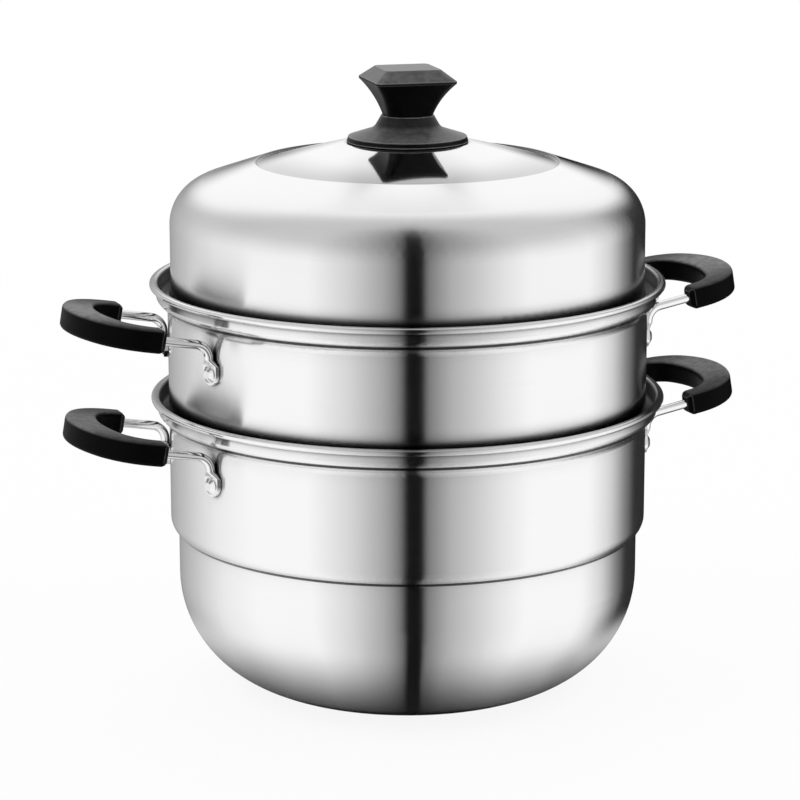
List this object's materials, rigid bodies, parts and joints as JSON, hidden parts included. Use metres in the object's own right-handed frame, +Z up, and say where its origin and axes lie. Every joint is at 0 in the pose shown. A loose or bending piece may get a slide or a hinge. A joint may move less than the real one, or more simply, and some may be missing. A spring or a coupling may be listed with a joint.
{
  "type": "steamer pot",
  "caption": "Stainless steel steamer: stepped round-bottomed pot, nested steaming tier and tall domed lid with a black square-headed knob, and black grips on riveted wire handles.",
  "frame": {"origin": "centre of the pot's flat underside", "axes": "+Z up along the axis of the pot, X through both pairs of handles"},
  "size_m": [0.4158, 0.3006, 0.3648],
  "materials": {
    "vessel_steel": "mirror polished outside",
    "rack_steel": "satin",
    "lid_steel": "mirror polished outside",
    "wire_steel": "polished drawn wire",
    "rivet_steel": "polished",
    "fixing_steel": "plain",
    "insert_brass": "turned",
    "knob_moulding": "smooth moulded",
    "grip_moulding": "satin moulded"
  },
  "bodies": {
    "pot": {"base_pot": "vessel_steel", "pot_right_frame": "wire_steel", "pot_right_grip": "grip_moulding", "pot_right_rivets": "rivet_steel", "pot_left_frame": "wire_steel", "pot_left_grip": "grip_moulding", "pot_left_rivets": "rivet_steel"},
    "rack": {"steam_rack": "rack_steel"},
    "tier": {"steamer_tier": "vessel_steel", "tier_right_frame": "wire_steel", "tier_right_grip": "grip_moulding", "tier_right_rivets": "rivet_steel", "tier_left_frame": "wire_steel", "tier_left_grip": "grip_moulding", "tier_left_rivets": "rivet_steel"},
    "lid": {"lid": "lid_steel", "lid_knob": "knob_moulding", "knob_insert": "insert_brass", "knob_screw": "fixing_steel", "knob_washer": "fixing_steel"}
  },
  "joints": [
    {"name": "rack_lift", "type": "slide", "parent": "pot", "child": "rack", "axis": [0, 0, 1], "range_m": [0, 0.12]},
    {"name": "tier_lift", "type": "slide", "parent": "rack", "child": "tier", "axis": [0, 0, 1], "range_m": [0, 0.1]},
    {"name": "lid_lift", "type": "slide", "parent": "tier", "child": "lid", "axis": [0, 0, 1], "range_m": [0, 0.1]}
  ]
}
